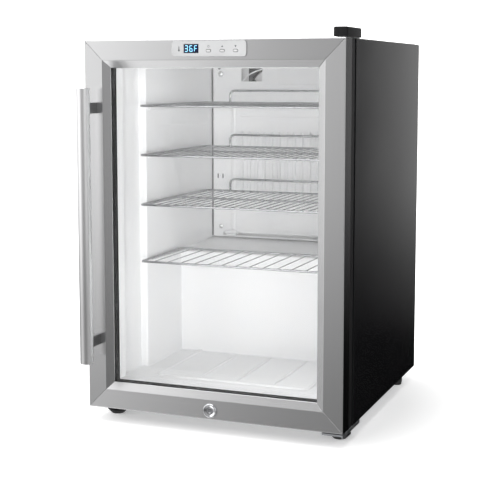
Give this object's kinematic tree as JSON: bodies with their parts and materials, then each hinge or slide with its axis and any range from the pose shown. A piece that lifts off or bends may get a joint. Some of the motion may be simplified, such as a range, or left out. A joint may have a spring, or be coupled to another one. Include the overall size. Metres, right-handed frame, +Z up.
{
  "type": "undercounter refrigerator",
  "caption": "Compact undercounter refrigerator with a framed glass door, bar handle, keyed lock, control panel and wire shelves.",
  "frame": {"origin": "on the floor, under the centre of the whole object's box", "axes": "+X to the hinge side, +Y from the door to the back, +Z up"},
  "size_m": [0.432, 0.5088, 0.6335],
  "materials": {
    "brushed_steel": "satin",
    "black_paint": "satin",
    "black_plastic": "matte",
    "grey_plastic": "satin",
    "white_plastic": "satin",
    "insulation_foam": "matte",
    "zinc_plate": "satin",
    "galvanised_sheet": "satin",
    "chrome": "polished",
    "shelf_wire": "satin",
    "copper": "satin",
    "aluminium": "satin",
    "rubber": "matte",
    "clear_glass": "gloss",
    "circuit_board": "satin",
    "display_window": "gloss"
  },
  "bodies": {
    "cabinet": {"side_panel_left": "black_paint", "side_panel_right": "black_paint", "top_panel": "black_paint", "back_panel": "black_paint", "base_pan": "galvanised_sheet", "foam_insulation": "insulation_foam", "inner_liner": "white_plastic", "compressor_bay_panel": "galvanised_sheet", "evaporator_plate": "aluminium", "evaporator_cover": "white_plastic", "air_vane": "white_plastic", "temperature_sensor": "white_plastic", "interior_lamp": "white_plastic", "fan_housing": "black_plastic", "fan_motor": "black_plastic", "compressor_shell": "black_paint", "compressor_mount": "galvanised_sheet", "relay_cover": "black_plastic", "drain_pan": "grey_plastic", "condenser_coil_left": "copper", "condenser_coil_right": "copper", "filter_drier": "copper", "suction_line": "copper", "cord_gland": "black_plastic", "top_hinge_plate": "zinc_plate", "top_hinge_pin": "zinc_plate", "top_hinge_cover": "black_plastic", "bottom_hinge_bracket": "zinc_plate", "bottom_hinge_pin": "zinc_plate", "lock_strike": "zinc_plate", "rear_foot_left": "rubber", "rear_foot_right": "rubber"},
    "door": {"door_rail_top": "brushed_steel", "door_rail_bottom": "brushed_steel", "door_stile_left": "brushed_steel", "door_stile_right": "brushed_steel", "door_inner_frame": "black_plastic", "outer_pane": "clear_glass", "inner_pane": "clear_glass", "glass_spacer": "black_plastic", "door_gasket": "rubber", "handle_tube": "brushed_steel", "handle_post_upper": "brushed_steel", "handle_post_lower": "brushed_steel", "control_bezel": "grey_plastic", "display_module": "display_window", "control_board": "circuit_board", "lock_housing": "chrome"},
    "front_foot_left": {"front_foot_left": "rubber"},
    "front_foot_right": {"front_foot_right": "rubber"},
    "fan": {"fan_rotor": "black_plastic"},
    "lock": {"lock_cylinder": "chrome", "lock_cam": "zinc_plate"},
    "control_button_1": {"control_button_1": "grey_plastic"},
    "control_button_2": {"control_button_2": "grey_plastic"},
    "control_button_3": {"control_button_3": "grey_plastic"},
    "shelf_1": {"shelf_1": "shelf_wire"},
    "shelf_2": {"shelf_2": "shelf_wire"},
    "shelf_3": {"shelf_3": "shelf_wire"},
    "shelf_4": {"shelf_4": "shelf_wire"}
  },
  "joints": [
    {"name": "door_hinge", "type": "hinge", "parent": "cabinet", "child": "door", "pos_m": [0.205, -0.19087, 0.323], "axis": [0, 0, 1], "range_deg": [0, 115]},
    {"name": "lock_turn", "type": "hinge", "parent": "door", "child": "lock", "pos_m": [-0.0011, -0.18688, 0.0387], "axis": [0, -1, 0], "range_deg": [0, 90]},
    {"name": "fan_spin", "type": "hinge", "parent": "cabinet", "child": "fan", "pos_m": [-0.058, 0.22012, 0.535], "axis": [0, 1, 0], "continuous": true},
    {"name": "button_1_press", "type": "slide", "parent": "door", "child": "control_button_1", "axis": [0, 1, 0], "range_m": [0, 0.0008], "stiffness_N_per_m": 400},
    {"name": "button_2_press", "type": "slide", "parent": "door", "child": "control_button_2", "axis": [0, 1, 0], "range_m": [0, 0.0008], "stiffness_N_per_m": 400},
    {"name": "button_3_press", "type": "slide", "parent": "door", "child": "control_button_3", "axis": [0, 1, 0], "range_m": [0, 0.0008], "stiffness_N_per_m": 400},
    {"name": "shelf_1_slide", "type": "slide", "parent": "cabinet", "child": "shelf_1", "axis": [0, -1, 0], "range_m": [0, 0.04]},
    {"name": "shelf_2_slide", "type": "slide", "parent": "cabinet", "child": "shelf_2", "axis": [0, -1, 0], "range_m": [0, 0.04]},
    {"name": "shelf_3_slide", "type": "slide", "parent": "cabinet", "child": "shelf_3", "axis": [0, -1, 0], "range_m": [0, 0.04]},
    {"name": "shelf_4_slide", "type": "slide", "parent": "cabinet", "child": "shelf_4", "axis": [0, -1, 0], "range_m": [0, 0.04]},
    {"name": "front_foot_left_turn", "type": "hinge", "parent": "cabinet", "child": "front_foot_left", "pos_m": [-0.194, -0.14827, 0.01], "axis": [0, 0, 1], "continuous": true},
    {"name": "front_foot_right_turn", "type": "hinge", "parent": "cabinet", "child": "front_foot_right", "pos_m": [0.194, -0.14827, 0.01], "axis": [0, 0, 1], "continuous": true}
  ]
}
